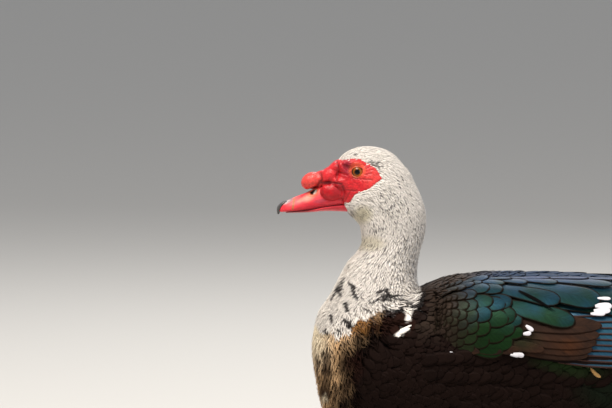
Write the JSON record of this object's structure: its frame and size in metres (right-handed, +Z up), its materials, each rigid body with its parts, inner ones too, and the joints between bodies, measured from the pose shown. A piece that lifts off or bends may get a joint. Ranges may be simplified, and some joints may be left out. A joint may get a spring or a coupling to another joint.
{
  "type": "muscovy duck, still model",
  "caption": "Life-size still model of a standing muscovy duck: white head and neck with dark flecks, bare red face with caruncles, dark body and blue-green wings.",
  "frame": {"origin": "on the floor, under the middle of the bird's length", "axes": "+X towards the tip of the bill, +Y towards the bird's left side, +Z up"},
  "size_m": [0.6204, 0.1986, 0.4003],
  "materials": {
    "white_feather": "matt, soft, short white plumage with small blackish flecks",
    "dark_feather": "matt brown-black body plumage",
    "wing_feather": "satin blue-green sheen on the wing's vanes",
    "tail_feather": "satin dark green-black tail vanes",
    "face_skin": "satin red caruncled skin",
    "bill_horn": "satin pink-red horn",
    "nail_horn": "satin dark grey horn",
    "eye_ball": "glossy, wet",
    "foot_skin": "matt scaled skin",
    "claw_horn": "satin dark horn"
  },
  "bodies": {
    "root": {"head": "white_feather", "face": "face_skin", "bill_upper": "bill_horn", "bill_lower": "bill_horn", "bill_nail": "nail_horn", "eye_left": "eye_ball", "eye_right": "eye_ball", "neck": "white_feather", "torso": "dark_feather", "tail": "tail_feather", "wing_left": "wing_feather", "wing_right": "wing_feather", "thigh_left": "dark_feather", "thigh_right": "dark_feather", "shank_left": "foot_skin", "shank_right": "foot_skin", "foot_left": "foot_skin", "foot_right": "foot_skin", "claw_inner_left": "claw_horn", "claw_middle_left": "claw_horn", "claw_outer_left": "claw_horn", "claw_hind_left": "claw_horn", "claw_inner_right": "claw_horn", "claw_middle_right": "claw_horn", "claw_outer_right": "claw_horn", "claw_hind_right": "claw_horn"}
  },
  "joints": []
}
